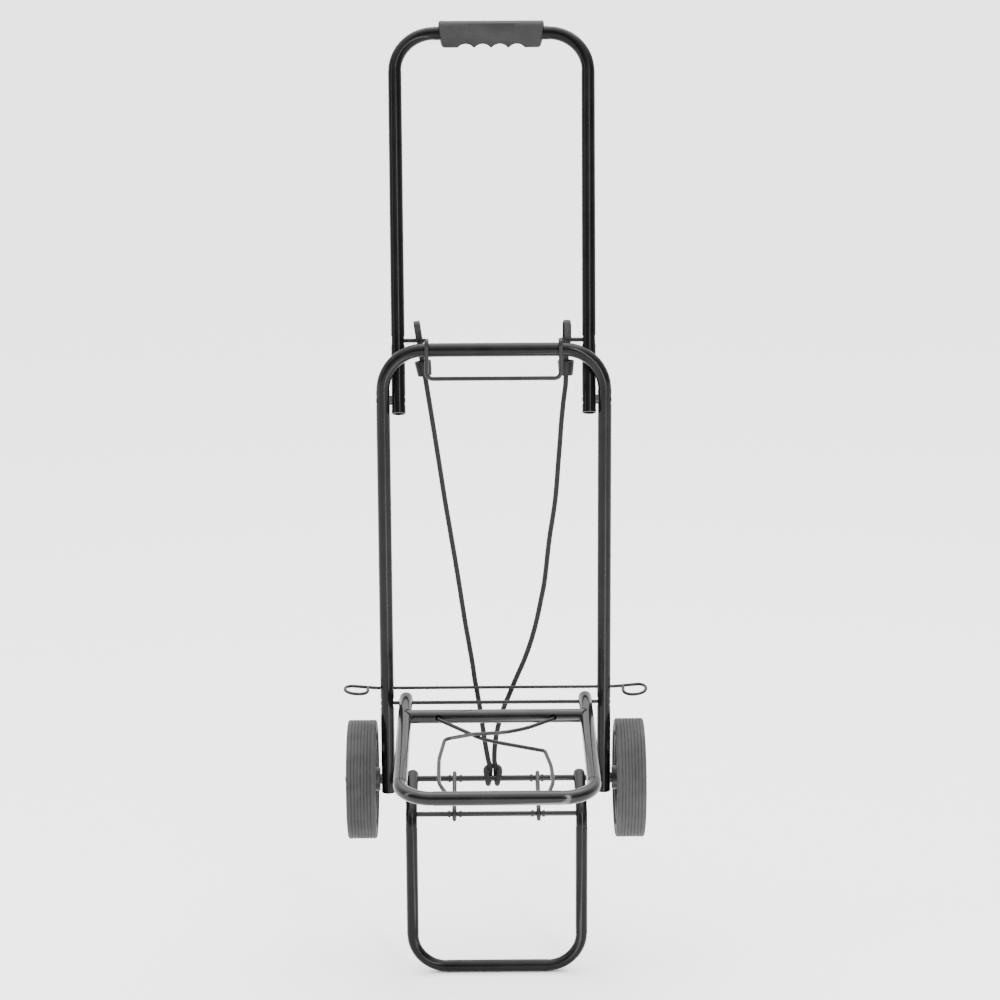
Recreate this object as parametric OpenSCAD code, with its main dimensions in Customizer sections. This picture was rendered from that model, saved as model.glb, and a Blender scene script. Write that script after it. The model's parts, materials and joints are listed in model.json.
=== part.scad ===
/* [Tubes] */
// Outside diameter of the frame, handle and platform tube
tube_d = 16; // [15.6:0.1:16.2]
// Wall thickness of every tube
tube_wall = 1.2; // [1:0.1:1.5]
// How much a bend narrows the tube
bend_squeeze = 0.6; // [0:0.1:0.8]
// Outside diameter of the foot tube
foot_d = 14; // [13:0.5:14]

/* [Frame] */
// Distance between the uprights' centre lines
frame_w = 254.5; // [253:0.5:258]
// Height of the frame's top bar above the axle
frame_h = 513; // [510:1:516]
// How far the uprights run on below the axle
upright_tail = 16; // [12:1:20]
// Centre-line radius of the frame's bends
frame_bend = 47; // [46:1:48]

/* [Handle] */
// Height of the handle's pivot above the axle
pivot_h = 455; // [454:1:456]
// Distance between the handle legs at the pivot
handle_w = 218.5; // [218:0.1:219]
// How far each leg spreads outward, in degrees
handle_splay = 0.6; // [0.3:0.1:0.7]
// How far the locked handle leans back, in degrees
handle_lean = 22; // [22:0.5:23]
// Length from the pivot to the handle's top bar
handle_l = 439.5; // [420:1:460]
// Centre-line radius of the handle's bends
handle_bend = 46; // [40:1:50]

/* [Grip] */
// Length of the grip along its top
grip_l = 124; // [120:1:130]
// Thickness of the grip from front to back
grip_t = 27; // [25:1:30]
// Distance between two finger scallops
finger_pitch = 20; // [19:0.5:20]

/* [Platform] */
// Distance between the platform's side tubes
platform_w = 211; // [209:0.5:212]
// Length from the platform's pivot to its front bar
platform_l = 268; // [260:1:275]
// How far the open platform slopes down, in degrees
platform_droop = 6; // [4:0.5:7]
// Height of the platform's pivot above the axle
platform_h = 93.7; // [92:0.1:95]
// Diameter of the crossed spring wire
spring_wire_d = 4.5; // [4:0.1:4.8]

/* [Foot] */
// Distance between the foot's legs
foot_w = 197.5; // [195:0.5:199]
// Distance of the foot's bottom bar below the axle
foot_drop = 207.5; // [190:1:215]
// Diameter of the rod across the foot's bends
foot_rod_d = 6; // [5:0.5:6]

/* [Wheels] */
// Outside diameter of the tyres
wheel_d = 140; // [136:1:142]
// Width of the tyres
wheel_w = 34; // [32:1:36]
// Distance between the middles of the two tyres
wheel_track = 315; // [313:1:318]
// Diameter of the axle
axle_d = 7; // [6:0.5:7]

/* [Cord] */
// Diameter of the elastic cord
cord_d = 6; // [5:0.5:6]

/* [Hidden] */
$fn = 64;

upright_x = frame_w / 2;
leg_x = handle_w / 2;
side_x = platform_w / 2;
foot_x = foot_w / 2;
upright_face = upright_x + tube_d / 2;

// The origin is under the middle of the part's box, at the foot's lowest point.
// Everything is drawn from the axle's middle and moved there by seat().
origin_lift = foot_drop + foot_d / 2;
front_y = platform_l * cos(platform_droop) + tube_d / 2;
rear_y = 179.23;
origin_shift = (front_y - rear_y) / 2;

dimple_depth = 0.9;
dimple_d = 12.4;
rod_d = 4.5;
hook_wire_d = 3.8;
hook_wire_h = 109;
hook_wire_y = tube_d / 2 + hook_wire_d / 2;
axle_l = 354;
lap = 1;

// ---- vectors ----
function unit(v) = v / norm(v);
function hinge_angle(a, b) = acos(max(-1, min(1, a * b)));
function reverse(list) = [for (i = [len(list) - 1:-1:0]) list[i]];
function flip_x(list) = [for (p = list) [-p[0], p[1], p[2]]];

module seat() translate([0, origin_shift, origin_lift]) children();

// A point at distance t up the leaning handle, measured from its pivot
function on_handle(x, t) = [x, t * sin(handle_lean), pivot_h + t * cos(handle_lean)];

// ---- round bars, tubes and bent wire ----
// A round bar from point a to point b
module bar(a, b, d) {
    v = b - a;
    translate(a)
        rotate([0, acos(v[2] / norm(v)), atan2(v[1], v[0])])
            cylinder(d = d, h = norm(v));
}

// A round bar along X from x0 to x1, at the given y and z
module bar_x(x0, x1, y, z, d) translate([x0, y, z]) rotate([0, 90, 0]) cylinder(d = d, h = x1 - x0);

// How far from a corner its bend starts
function tangent_l(a, b, c, r) = r / tan(hinge_angle(unit(a - b), unit(c - b)) / 2);

// Turns its child so that its X and Y axes lie along the two unit vectors
module along(x_dir, y_dir) {
    z_dir = cross(x_dir, y_dir);
    upright = abs(x_dir[2]) > 0.9999;
    roll = upright ? atan2(-sign(x_dir[2]) * y_dir[0], y_dir[1]) : atan2(y_dir[2], z_dir[2]);
    turn = upright ? 0 : atan2(x_dir[1], x_dir[0]);
    rotate([roll, -asin(max(-1, min(1, x_dir[2]))), turn]) children();
}

// One bend of radius r at corner b, between the neighbours a and c; it laps into the straights
module bend(a, b, c, r, d) {
    u = unit(a - b);
    v = unit(c - b);
    open = hinge_angle(u, v);
    middle = b + unit(u + v) * r / sin(open / 2);
    start = unit(b + u * r / tan(open / 2) - middle);
    translate(middle)
        along(start, -u)
            rotate([0, 0, -lap])
                rotate_extrude(angle = 180 - open + 2 * lap) translate([r, 0]) circle(d = d, $fn = 48);
}

// Wire or tube of diameter d through the corners, each bent to its radius; bends are bend_d thick
module bent(corners, radii, d, bend_d = 0) {
    n = len(corners);
    cut = [for (i = [0:n - 1])
        i == 0 || i == n - 1 ? 0 : tangent_l(corners[i - 1], corners[i], corners[i + 1], radii[i - 1])];
    for (i = [0:n - 2]) {
        way = unit(corners[i + 1] - corners[i]);
        bar(corners[i] + way * cut[i], corners[i + 1] - way * cut[i + 1], d);
    }
    for (i = [1:n - 2])
        bend(corners[i - 1], corners[i], corners[i + 1], radii[i - 1], bend_d == 0 ? d - 0.06 : bend_d);
}

// A hollow tube bent like a wire and open at both ends
module bent_tube(corners, radii, d) {
    difference() {
        bent(corners, radii, d, d - bend_squeeze);
        bent(corners, radii, d - 2 * tube_wall, d - bend_squeeze - 2 * tube_wall);
    }
}

// The flat pressed into a tube's side at x, facing outward along +X or inward along -X
module dimple(x, y, z, side) {
    translate([x - (side > 0 ? 0 : 3), y, z]) rotate([0, 90, 0]) cylinder(d = dimple_d, h = 3);
}

// ---- frame ----
module main_frame() {
    corners = [
        [-upright_x, 0, -upright_tail], [-upright_x, 0, frame_h],
        [upright_x, 0, frame_h], [upright_x, 0, -upright_tail]
    ];
    color("#1c1c1d") seat() difference() {
        bent_tube(corners, [frame_bend, frame_bend], tube_d);
        bar_x(-upright_face - 5, upright_face + 5, 0, pivot_h, 6);
        bar_x(-upright_face - 5, upright_face + 5, 0, platform_h, rod_d);
        bar_x(-upright_face - 5, upright_face + 5, 0, 0, axle_d);
        for (s = [0, 1]) mirror([s, 0, 0])
            for (z = [pivot_h, platform_h, 0]) {
                dimple(upright_face - dimple_depth, 0, z, 1);
                dimple(upright_x - tube_d / 2 + dimple_depth, 0, z, -1);
            }
    }
}

// A rivet head, flat on its inner side and domed on its outer side
module rivet_head(d, h) {
    ball = (d * d / 4 + h * h) / (2 * h);
    intersection() {
        cylinder(d = d, h = h);
        translate([0, 0, h - ball]) sphere(r = ball, $fn = 96);
    }
}

module pivot_rivets() {
    outer = upright_face - dimple_depth;
    inner = leg_x - tube_d / 2 + dimple_depth - 0.05;
    color("#2a2a2b") seat() for (s = [0, 1]) mirror([s, 0, 0]) translate([0, 0, pivot_h]) {
        bar_x(inner, outer, 0, 0, 6);
        translate([outer, 0, 0]) rotate([0, 90, 0]) rivet_head(10.5, 1.1);
        translate([inner, 0, 0]) rotate([0, -90, 0]) rivet_head(9.5, 1.1);
    }
}

module pivot_spacers() {
    outer = upright_x - tube_d / 2 + dimple_depth;
    inner = leg_x + tube_d / 2 - dimple_depth + 0.05;
    color("#222223") seat() for (s = [0, 1]) mirror([s, 0, 0]) translate([inner, 0, pivot_h])
        rotate([0, 90, 0]) difference() {
            cylinder(d = 11, h = outer - inner);
            translate([0, 0, -1]) cylinder(d = 6, h = outer - inner + 2);
        }
}

module platform_pivot_rod() {
    end = upright_face - dimple_depth;
    color("#2a2a2b") seat() translate([0, 0, platform_h]) {
        bar_x(-end, end, 0, 0, rod_d);
        for (s = [0, 1]) mirror([s, 0, 0]) translate([end, 0, 0]) rotate([0, 90, 0]) rivet_head(8, 1.1);
    }
}

// A straight wire behind the uprights, bent round into a closed D at each end
module side_hook_wire() {
    loop_in = 150;
    loop_out = 176.6;
    loop_deep = 24;
    bend_x = 138;
    rise = 5;
    up_in = (loop_in - bend_x) * tan(rise);
    up_out = (loop_out - bend_x) * tan(rise);
    side_corners = function (droop) let (front = [-loop_deep * cos(droop), -loop_deep * sin(droop)]) [
        [loop_in, 0, up_in], [loop_in, front[0], up_in + front[1]], [loop_out, front[0], up_out + front[1]],
        [loop_out, 0, up_out], [bend_x, 0, 0]
    ];
    color("#232324") seat() translate([0, hook_wire_y, hook_wire_h])
        bent(concat(side_corners(12), reverse(flip_x(side_corners(5)))),
            [12, 12, 10, 40, 40, 10, 12, 12], hook_wire_d);
}

// ---- axle ----
ring_x = 49;
stake_gap = 5.7;

// The pressed ears that keep a link ring in its place on a rod
module stakes(d) {
    for (x = [-ring_x, ring_x], side = [-1, 1])
        translate([x + side * (stake_gap + (side * x > 0 ? 0 : 1.5)), 0, 0])
            cube([3, d * 0.6, d + 1.2], center = true);
}

module axle() {
    color("#2b2b2c") seat() {
        bar_x(-axle_l / 2, axle_l / 2, 0, 0, axle_d);
        stakes(axle_d);
    }
}

hub_in = 136.8;
hub_out = 171.5;

module axle_washers() {
    color("#3a3a3b") seat() for (s = [0, 1]) mirror([s, 0, 0]) translate([upright_face - dimple_depth, 0, 0])
        rotate([0, 90, 0]) difference() {
            cylinder(d = 12, h = hub_in - 0.2 - upright_face + dimple_depth);
            translate([0, 0, -1]) cylinder(d = axle_d, h = 10);
        }
}

module axle_caps() {
    color("#2f2f30") seat() for (s = [0, 1]) mirror([s, 0, 0]) translate([hub_out + 0.3, 0, 0])
        rotate([0, 90, 0]) difference() {
            rivet_head(18, 7);
            translate([0, 0, -1]) cylinder(d = axle_d, h = axle_l / 2 - hub_out - 0.3 + 1);
        }
}

// ---- handle, drawn upright with its pivot at the origin, then leaned back ----
bail_t = 70;
bail_wire_d = 5;

module handle_place() seat() translate([0, 0, pivot_h]) rotate([-handle_lean, 0, 0]) children();

function leg_at(t) = leg_x + t * tan(handle_splay);

module handle_tube() {
    corners = [
        [-leg_at(-16), 0, -16], [-leg_at(handle_l), 0, handle_l],
        [leg_at(handle_l), 0, handle_l], [leg_at(-16), 0, -16]
    ];
    reach = leg_at(bail_t) + tube_d;
    color("#1c1c1d") handle_place() difference() {
        bent_tube(corners, [handle_bend, handle_bend], tube_d);
        bar_x(-reach, reach, 0, 0, 6.1);
        bar_x(-reach, reach, 0, bail_t, bail_wire_d + 0.1);
        for (s = [0, 1]) mirror([s, 0, 0]) for (t = [0, bail_t]) {
            dimple(leg_at(t) + tube_d / 2 - dimple_depth, 0, t, 1);
            dimple(leg_at(t) - tube_d / 2 + dimple_depth, 0, t, -1);
        }
    }
}

// A rounded rectangle centred on the origin
module round_rect(w, h, r) {
    square([w - 2 * r, h], center = true);
    square([w, h - 2 * r], center = true);
    for (x = [-1, 1], y = [-1, 1]) translate([x * (w / 2 - r), y * (h / 2 - r)]) circle(r = r);
}

grip_up = 13.6;
grip_down = 16.2;

module handle_grip() {
    height = grip_up + grip_down;
    half_l = grip_l / 2;
    end_slope = 12;
    scallop_deep = 4.3;
    scallop_w = finger_pitch - 1.4;
    scallop_r = (scallop_w * scallop_w / 4 + scallop_deep * scallop_deep) / (2 * scallop_deep);
    panel_l = 54;
    panel_h = 15;
    panel_deep = 0.7;
    color("#47474a") handle_place() translate([0, 0, handle_l]) difference() {
        translate([-half_l, 0, (grip_up - grip_down) / 2]) rotate([90, 0, 90])
            linear_extrude(height = grip_l) round_rect(grip_t, height, 10);
        for (s = [0, 1]) mirror([s, 0, 0]) translate([half_l, 0, 2]) rotate([0, end_slope, 0])
            translate([0, -grip_t, -height]) cube([20, 2 * grip_t, height]);
        for (i = [-1.5:1:1.5]) translate([i * finger_pitch, 0, -grip_down + scallop_deep - scallop_r])
            rotate([90, 0, 0]) cylinder(r = scallop_r, h = 2 * grip_t, center = true, $fn = 96);
        bar_x(-grip_l, grip_l, 0, 0, tube_d);
        translate([-panel_l / 2, -grip_t / 2 - 1, grip_up - 6.5 - panel_h]) cube([panel_l, 1 + panel_deep, panel_h]);
    }
}

// The wire that hooks over the frame's top bar; its two arms turn in the handle's legs
bail_x = 76.5;
bail_front = tube_d / 2 + bail_wire_d / 2 + 0.5;
bail_low = 481.5;

module latch_bail() {
    hole = on_handle(0, bail_t);
    top_z = frame_h + tube_d / 2 + bail_wire_d / 2 + 2;
    half = [
        [leg_at(bail_t) + 7, hole[1], hole[2]], [bail_x, hole[1], hole[2]],
        [bail_x, -bail_front, top_z], [bail_x, -bail_front, bail_low]
    ];
    color("#242425") seat() bent(concat(half, reverse(flip_x(half))), [4, 6, 7, 7, 6, 4], bail_wire_d);
}

// ---- cord hooks: a flat strip bent to a J, with a cup that holds the cord's knot ----
hook_r = 5.5;
strip_t = 2.4;
strip_w = 7.5;
hook_top = 543;
socket_top = 495;
socket_h = 17;
socket_y = 31;
socket_big = 19.5;
socket_small = 16.5;
hook_mid = 26.6;
tip_z = 518;
HOOK_X = [-84.6, 84.6];
HOOK_TILT = [8, 0];
HOOK_YAW = [0, 13];

// Tilts a hook sideways about the middle of its strip and turns it a little about its own length
module hook_place(i) seat() translate([HOOK_X[i], 0, 515]) rotate([0, -HOOK_TILT[i], 0])
    translate([0, hook_mid, -515]) rotate([0, 0, HOOK_YAW[i]]) translate([0, -hook_mid, 0]) children();

module hook_strip() {
    arc_z = hook_top - hook_r - strip_t / 2;
    translate([-strip_w / 2, 0, 0]) rotate([90, 0, 90]) linear_extrude(height = strip_w) {
        translate([hook_mid - hook_r, arc_z]) translate([-strip_t / 2, tip_z - arc_z])
            square([strip_t, arc_z - tip_z]);
        translate([hook_mid - hook_r, tip_z]) circle(d = strip_t + 1);
        translate([hook_mid + hook_r - strip_t / 2, socket_top - 4]) square([strip_t, arc_z - socket_top + 4]);
        translate([hook_mid, arc_z]) difference() {
            circle(r = hook_r + strip_t / 2);
            circle(r = hook_r - strip_t / 2);
            translate([-20, -40]) square([40, 40]);
        }
    }
}

module hook_socket() {
    floor_t = 4;
    translate([0, socket_y, socket_top - socket_h]) difference() {
        rotate_extrude() polygon([
            [cord_d / 2 + 0.1, 0], [socket_small / 2, 0], [socket_big / 2, socket_h],
            [socket_big / 2 - 1.8, socket_h], [socket_small / 2 - 1.8, floor_t], [cord_d / 2 + 0.1, floor_t]
        ]);
        translate([-strip_w / 2 - 0.1, hook_mid + hook_r - strip_t / 2 - socket_y - 0.1, socket_h - 4.1])
            cube([strip_w + 0.2, strip_t + 0.2, 10]);
    }
}

module hook_left() color("#4a4a4c") hook_place(0) hook_strip();
module hook_right() color("#4a4a4c") hook_place(1) hook_strip();
module hook_socket_left() color("#333335") hook_place(0) hook_socket();
module hook_socket_right() color("#333335") hook_place(1) hook_socket();

// ---- platform, drawn flat with its pivot at the origin and its front bar toward -Y ----
platform_bend = 37;
platform_tail = 13;
platform_splay = 1;
cross_c = 42;
spring_hole_x = 66.5;

module platform_place() seat() translate([0, 0, platform_h]) rotate([platform_droop, 0, 0]) children();

module platform_tube() {
    corners = [
        [-side_x, platform_tail, 0], [-side_x - platform_splay, -platform_l, 0],
        [side_x + platform_splay, -platform_l, 0], [side_x, platform_tail, 0]
    ];
    color("#1e1e1f") platform_place() difference() {
        bent_tube(corners, [platform_bend, platform_bend], tube_d);
        bar_x(-side_x - tube_d, side_x + tube_d, 0, 0, rod_d + 0.1);
        for (s = [0, 1]) mirror([s, 0, 0]) {
            dimple(side_x + tube_d / 2 - dimple_depth, 0, 0, 1);
            dimple(side_x - tube_d / 2 + dimple_depth, 0, 0, -1);
        }
    }
}

module platform_cross_tube() {
    color("#1e1e1f") platform_place() difference() {
        bar_x(-side_x, side_x, -cross_c, 0, tube_d);
        bar_x(-side_x - 1, side_x + 1, -cross_c, 0, tube_d - 2 * tube_wall);
        for (x = [-side_x, side_x]) bar([x, 20, 0], [x, -120, 0], tube_d);
        for (x = [-spring_hole_x, spring_hole_x]) bar([x, -cross_c, 1], [x, -cross_c - 20, 1], spring_wire_d + 3);
    }
}

// One wire that crosses over itself: in at the left hole, round the front, back out at the right hole
module platform_spring_wire() {
    over = spring_wire_d / 2 + 0.15;
    corners = [
        [-spring_hole_x, -41, 0], [-spring_hole_x, -51, 0], [-18, -101, -over], [2, -113, -over], [54.5, -143, 0],
        [60.5, -185, 0], [61.5, -228, 0], [56, -257, 0], [-55, -257, 0], [-64, -228, 0], [-64.5, -165, 0],
        [-58.5, -108, 0],
        [-27, -100, over], [10, -95.5, over], [35, -84, over], [spring_hole_x, -51, 0], [spring_hole_x, -41, 0]
    ];
    radii = [6, 50, 50, 8, 150, 80, 7, 7, 70, 150, 9, 30, 60, 60, 6];
    color("#2c2c2d") platform_place() bent(corners, radii, spring_wire_d);
}

// ---- foot, drawn hanging from the axle ----
foot_slope = 14.5;
foot_corner = [-69.5, -18];
foot_bend = 25;
foot_tail = 9;
foot_low_bend = 40;
open_half = (90 + foot_slope) / 2;
// The middle of the upper bend, where the cross rod passes through both legs
to_inside = unit([cos(foot_slope), sin(foot_slope) - 1]);
foot_rod_yz = foot_corner + to_inside * (foot_bend / sin(open_half) - foot_bend);

module foot_tube() {
    half = [
        [foot_x, foot_tail * cos(foot_slope), foot_tail * sin(foot_slope)],
        [foot_x, foot_corner[0], foot_corner[1]], [foot_x, foot_corner[0], -foot_drop]
    ];
    color("#1c1c1d") seat() difference() {
        bent_tube(concat(half, reverse(flip_x(half))), [foot_bend, foot_low_bend, foot_low_bend, foot_bend], foot_d);
        bar_x(-foot_x - foot_d, foot_x + foot_d, 0, 0, axle_d + 0.1);
        bar_x(-foot_x - foot_d, foot_x + foot_d, foot_rod_yz[0], foot_rod_yz[1], foot_rod_d);
        for (s = [0, 1]) mirror([s, 0, 0]) for (side = [-1, 1])
            dimple(foot_x + side * (foot_d / 2 - dimple_depth), 0, 0, side);
    }
}

module foot_cross_rod() {
    end = foot_x + foot_d / 2 - 0.3;
    color("#2b2b2c") seat() translate([0, foot_rod_yz[0], foot_rod_yz[1]]) {
        bar_x(-end, end, 0, 0, foot_rod_d);
        stakes(foot_rod_d);
    }
}

// Two long wire rings, each round the axle at one end and round the cross rod at the other
module foot_link_rings() {
    wire = 5;
    r = axle_d / 2 + 0.3 + wire / 2;
    reach = norm(foot_rod_yz);
    fall = atan2(foot_rod_yz[1], -foot_rod_yz[0]);
    color("#2c2c2d") seat() for (x = [-ring_x, ring_x]) translate([x, 0, 0]) rotate([-fall, 0, 0]) {
        for (z = [-r, r]) bar([0, 0, z], [0, -reach, z], wire);
        for (end = [[0, -90], [-reach, 90]]) translate([0, end[0], 0]) rotate([0, 90, 0]) rotate([0, 0, end[1] + 90])
            rotate_extrude(angle = 180) translate([r, 0]) circle(d = wire, $fn = 48);
    }
}

// ---- wheels, drawn on the X axis with the tyre's middle at the origin ----
rim_r = 56;
bush_d = 12;

module wheel_place(side) seat() translate([side * wheel_track / 2, 0, 0]) rotate([0, side * 90, 0]) children();

module wheel_tyre() {
    half = wheel_w / 2;
    rib_n = 8;
    rib_pitch = (wheel_w - 4) / rib_n;
    color("#5d5d5e") difference() {
        rotate_extrude($fn = 180) difference() {
            union() {
                translate([rim_r, -half]) square([wheel_d / 2 - rim_r - 3, wheel_w]);
                translate([rim_r, -half + 3]) square([wheel_d / 2 - rim_r, wheel_w - 6]);
                for (y = [-half + 3, half - 3]) translate([wheel_d / 2 - 3, y]) circle(r = 3, $fn = 32);
            }
            for (i = [1:rib_n - 1]) translate([wheel_d / 2 - 0.9, -half + 2 + i * rib_pitch - 0.5]) square([3, 1]);
        }
    }
}

module wheel_rim() {
    half = wheel_w / 2;
    barrel_w = wheel_w - 4;
    spoke_n = 8;
    hub_r = 14;
    web = 5;
    hub_back = wheel_track / 2 - hub_in;
    hub_front = hub_out - wheel_track / 2;
    color("#2a2a2b") difference() {
        union() {
            rotate_extrude($fn = 180) {
                translate([rim_r - 4.5, -barrel_w / 2]) square([4.5, barrel_w]);
                translate([hub_r - 4, -web / 2]) square([rim_r - hub_r, web]);
                translate([bush_d / 2, -hub_back]) square([hub_r - bush_d / 2, hub_back + hub_front]);
            }
            for (i = [0:spoke_n - 1]) rotate([0, 0, i * 360 / spoke_n])
                translate([hub_r - 2, -1.6, -barrel_w / 2 + 4]) cube([rim_r - hub_r, 3.2, barrel_w - 8]);
        }
        for (i = [0:spoke_n - 1]) rotate([0, 0, (i + 0.5) * 360 / spoke_n])
            translate([35, 0, -10]) cylinder(d = 13, h = 20);
    }
}

module wheel_bush() {
    hub_back = wheel_track / 2 - hub_in;
    hub_front = hub_out - wheel_track / 2;
    color("#4b4b4c") translate([0, 0, -hub_back]) difference() {
        cylinder(d = bush_d, h = hub_back + hub_front);
        translate([0, 0, -1]) cylinder(d = axle_d + 0.1, h = hub_back + hub_front + 2);
    }
}

module wheel_rim_left() wheel_place(-1) wheel_rim();
module wheel_rim_right() wheel_place(1) wheel_rim();
module wheel_tyre_left() wheel_place(-1) wheel_tyre();
module wheel_tyre_right() wheel_place(1) wheel_tyre();
module wheel_bush_left() wheel_place(-1) wheel_bush();
module wheel_bush_right() wheel_place(1) wheel_bush();

// ---- elastic cord ----
CORD_LEFT = [
    [-79.4, 31, 477.5], [-77.6, 31, 466], [-71.5, 29.5, 426], [-64.5, 27.5, 379], [-57.5, 25.5, 331],
    [-50, 24, 284], [-42.5, 22, 236], [-35.5, 20, 188], [-27.5, 17.5, 140], [-24.5, 16.2, 118],
    [-22, 14.8, 104], [-19, 12.5, 86], [-15.5, 8.5, 62], [-12.3, 5, 40], [-9.2, 3, 22], [-7, 3, 14], [-6.7, 5.5, 7]
];
CORD_RIGHT = [
    [83.6, 31, 477.5], [83.2, 31, 466], [81, 30.5, 449], [78.6, 29.5, 426], [76.8, 28.5, 402],
    [75, 27.5, 379], [71, 25.5, 331], [64, 24, 284], [58.5, 22, 236], [54, 21, 212], [49, 20, 188],
    [42.5, 18.8, 164], [34, 17.5, 140], [23.5, 16, 116], [16, 14.5, 98], [10, 12.5, 84], [3, 8.5, 62],
    [-0.9, 5.4, 40], [-1.8, 4, 22], [-0.7, 4, 14], [-0.3, 6, 7]
];

// Rings of a swept round cord, one at each point of its route
function ring(p, way, r, n) =
    let (side = unit(cross([0, 1, 0], way)), up = cross(way, side))
    [for (k = [0:n - 1]) p + r * (cos(k * 360 / n) * side + sin(k * 360 / n) * up)];

function cord_rings(path, r, n) = [for (i = [0:len(path) - 1]) each ring(path[i],
    unit(path[min(i + 1, len(path) - 1)] - path[max(i - 1, 0)]), r, n)];

function cord_faces(m, n) = concat(
    [[for (k = [0:n - 1]) k]],
    [for (i = [0:m - 2], k = [0:n - 1]) each [
        [i * n + k, (i + 1) * n + k, (i + 1) * n + (k + 1) % n],
        [i * n + k, (i + 1) * n + (k + 1) % n, i * n + (k + 1) % n]]],
    [[for (k = [n - 1:-1:0]) (m - 1) * n + k]]);

// Points between the route's own, on a smooth curve through them
function between(a, b, c, d, t) =
    0.5 * (2 * b + (c - a) * t + (2 * a - 5 * b + 4 * c - d) * t * t + (3 * b - a - 3 * c + d) * t * t * t);
function smooth(p) = concat([for (i = [0:len(p) - 2], t = [0, 0.5])
    between(p[max(i - 1, 0)], p[i], p[i + 1], p[min(i + 2, len(p) - 1)], t)], [p[len(p) - 1]]);

module cord(route) {
    path = smooth(route);
    sides = 10;
    color("#303031") seat()
        polyhedron(points = cord_rings(path, cord_d / 2, sides), faces = cord_faces(len(path), sides));
}

module cord_left() cord(CORD_LEFT);
module cord_right() cord(CORD_RIGHT);

// The loop knot: two turns of the cord round the axle, joined behind it
module cord_knot() {
    turn_r = axle_d / 2 + cord_d / 2 + 0.05;
    color("#303031") seat() {
        for (turn = [[-10.4, -18], [2.3, 20]]) translate([turn[0], 0, 0]) rotate([0, 90 + turn[1] / 2, 0])
            rotate_extrude() translate([turn_r, 0]) circle(d = cord_d, $fn = 48);
        bar_x(-10.4, 2.3, turn_r * cos(40), turn_r * sin(40), cord_d);
    }
}

main_frame();
pivot_rivets();
pivot_spacers();
platform_pivot_rod();
side_hook_wire();
axle();
axle_washers();
axle_caps();
handle_tube();
handle_grip();
latch_bail();
hook_left();
hook_right();
hook_socket_left();
hook_socket_right();
platform_tube();
platform_cross_tube();
platform_spring_wire();
foot_tube();
foot_cross_rod();
foot_link_rings();
wheel_rim_left();
wheel_rim_right();
wheel_tyre_left();
wheel_tyre_right();
wheel_bush_left();
wheel_bush_right();
cord_left();
cord_right();
cord_knot();
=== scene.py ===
import json
import logging
import math
from dataclasses import dataclass
from enum import Enum
from typing import Callable, Sequence

import bmesh
import bpy
from mathutils import Matrix, Vector


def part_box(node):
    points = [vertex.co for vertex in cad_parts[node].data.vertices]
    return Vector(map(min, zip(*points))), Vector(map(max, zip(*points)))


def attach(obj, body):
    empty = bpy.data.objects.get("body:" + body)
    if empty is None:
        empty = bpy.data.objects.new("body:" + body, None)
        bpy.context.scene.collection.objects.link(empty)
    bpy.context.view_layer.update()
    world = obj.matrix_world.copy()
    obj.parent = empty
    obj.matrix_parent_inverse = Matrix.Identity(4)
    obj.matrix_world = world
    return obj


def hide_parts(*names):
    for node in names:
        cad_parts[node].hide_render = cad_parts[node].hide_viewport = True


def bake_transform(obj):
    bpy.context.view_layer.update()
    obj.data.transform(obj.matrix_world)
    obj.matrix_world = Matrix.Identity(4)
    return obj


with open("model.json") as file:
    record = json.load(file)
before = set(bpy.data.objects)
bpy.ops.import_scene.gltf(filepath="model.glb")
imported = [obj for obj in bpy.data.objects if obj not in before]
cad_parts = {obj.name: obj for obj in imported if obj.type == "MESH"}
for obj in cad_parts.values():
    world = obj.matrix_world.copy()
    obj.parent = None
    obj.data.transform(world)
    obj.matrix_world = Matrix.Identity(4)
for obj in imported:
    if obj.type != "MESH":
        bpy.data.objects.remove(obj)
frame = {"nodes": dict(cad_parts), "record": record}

LOG = logging.getLogger("luggage_cart")
MM = 0.001
TAU = 2 * math.pi
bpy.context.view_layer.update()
AXLE = (Vector(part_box("axle")[0]) + Vector(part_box("axle")[1])) / 2
Point = tuple[float, float, float]
Pick = Callable[[Vector, Vector], bool]


def at(x: float, y: float, z: float) -> Vector:
    """Turns a point of the cart's own drawing into one of the shared frame.

    Args:
        x: Millimetres to the right of the axle's middle.
        y: Millimetres behind it.
        z: Millimetres above it.

    Returns:
        The point in metres.
    """
    return AXLE + Vector((x, y, z)) * MM


class Part(Enum):
    """What a pick in edit mode looks for."""

    VERT = "VERT"
    EDGE = "EDGE"
    FACE = "FACE"


# ---------------------------------------------------------------- modelling


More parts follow.
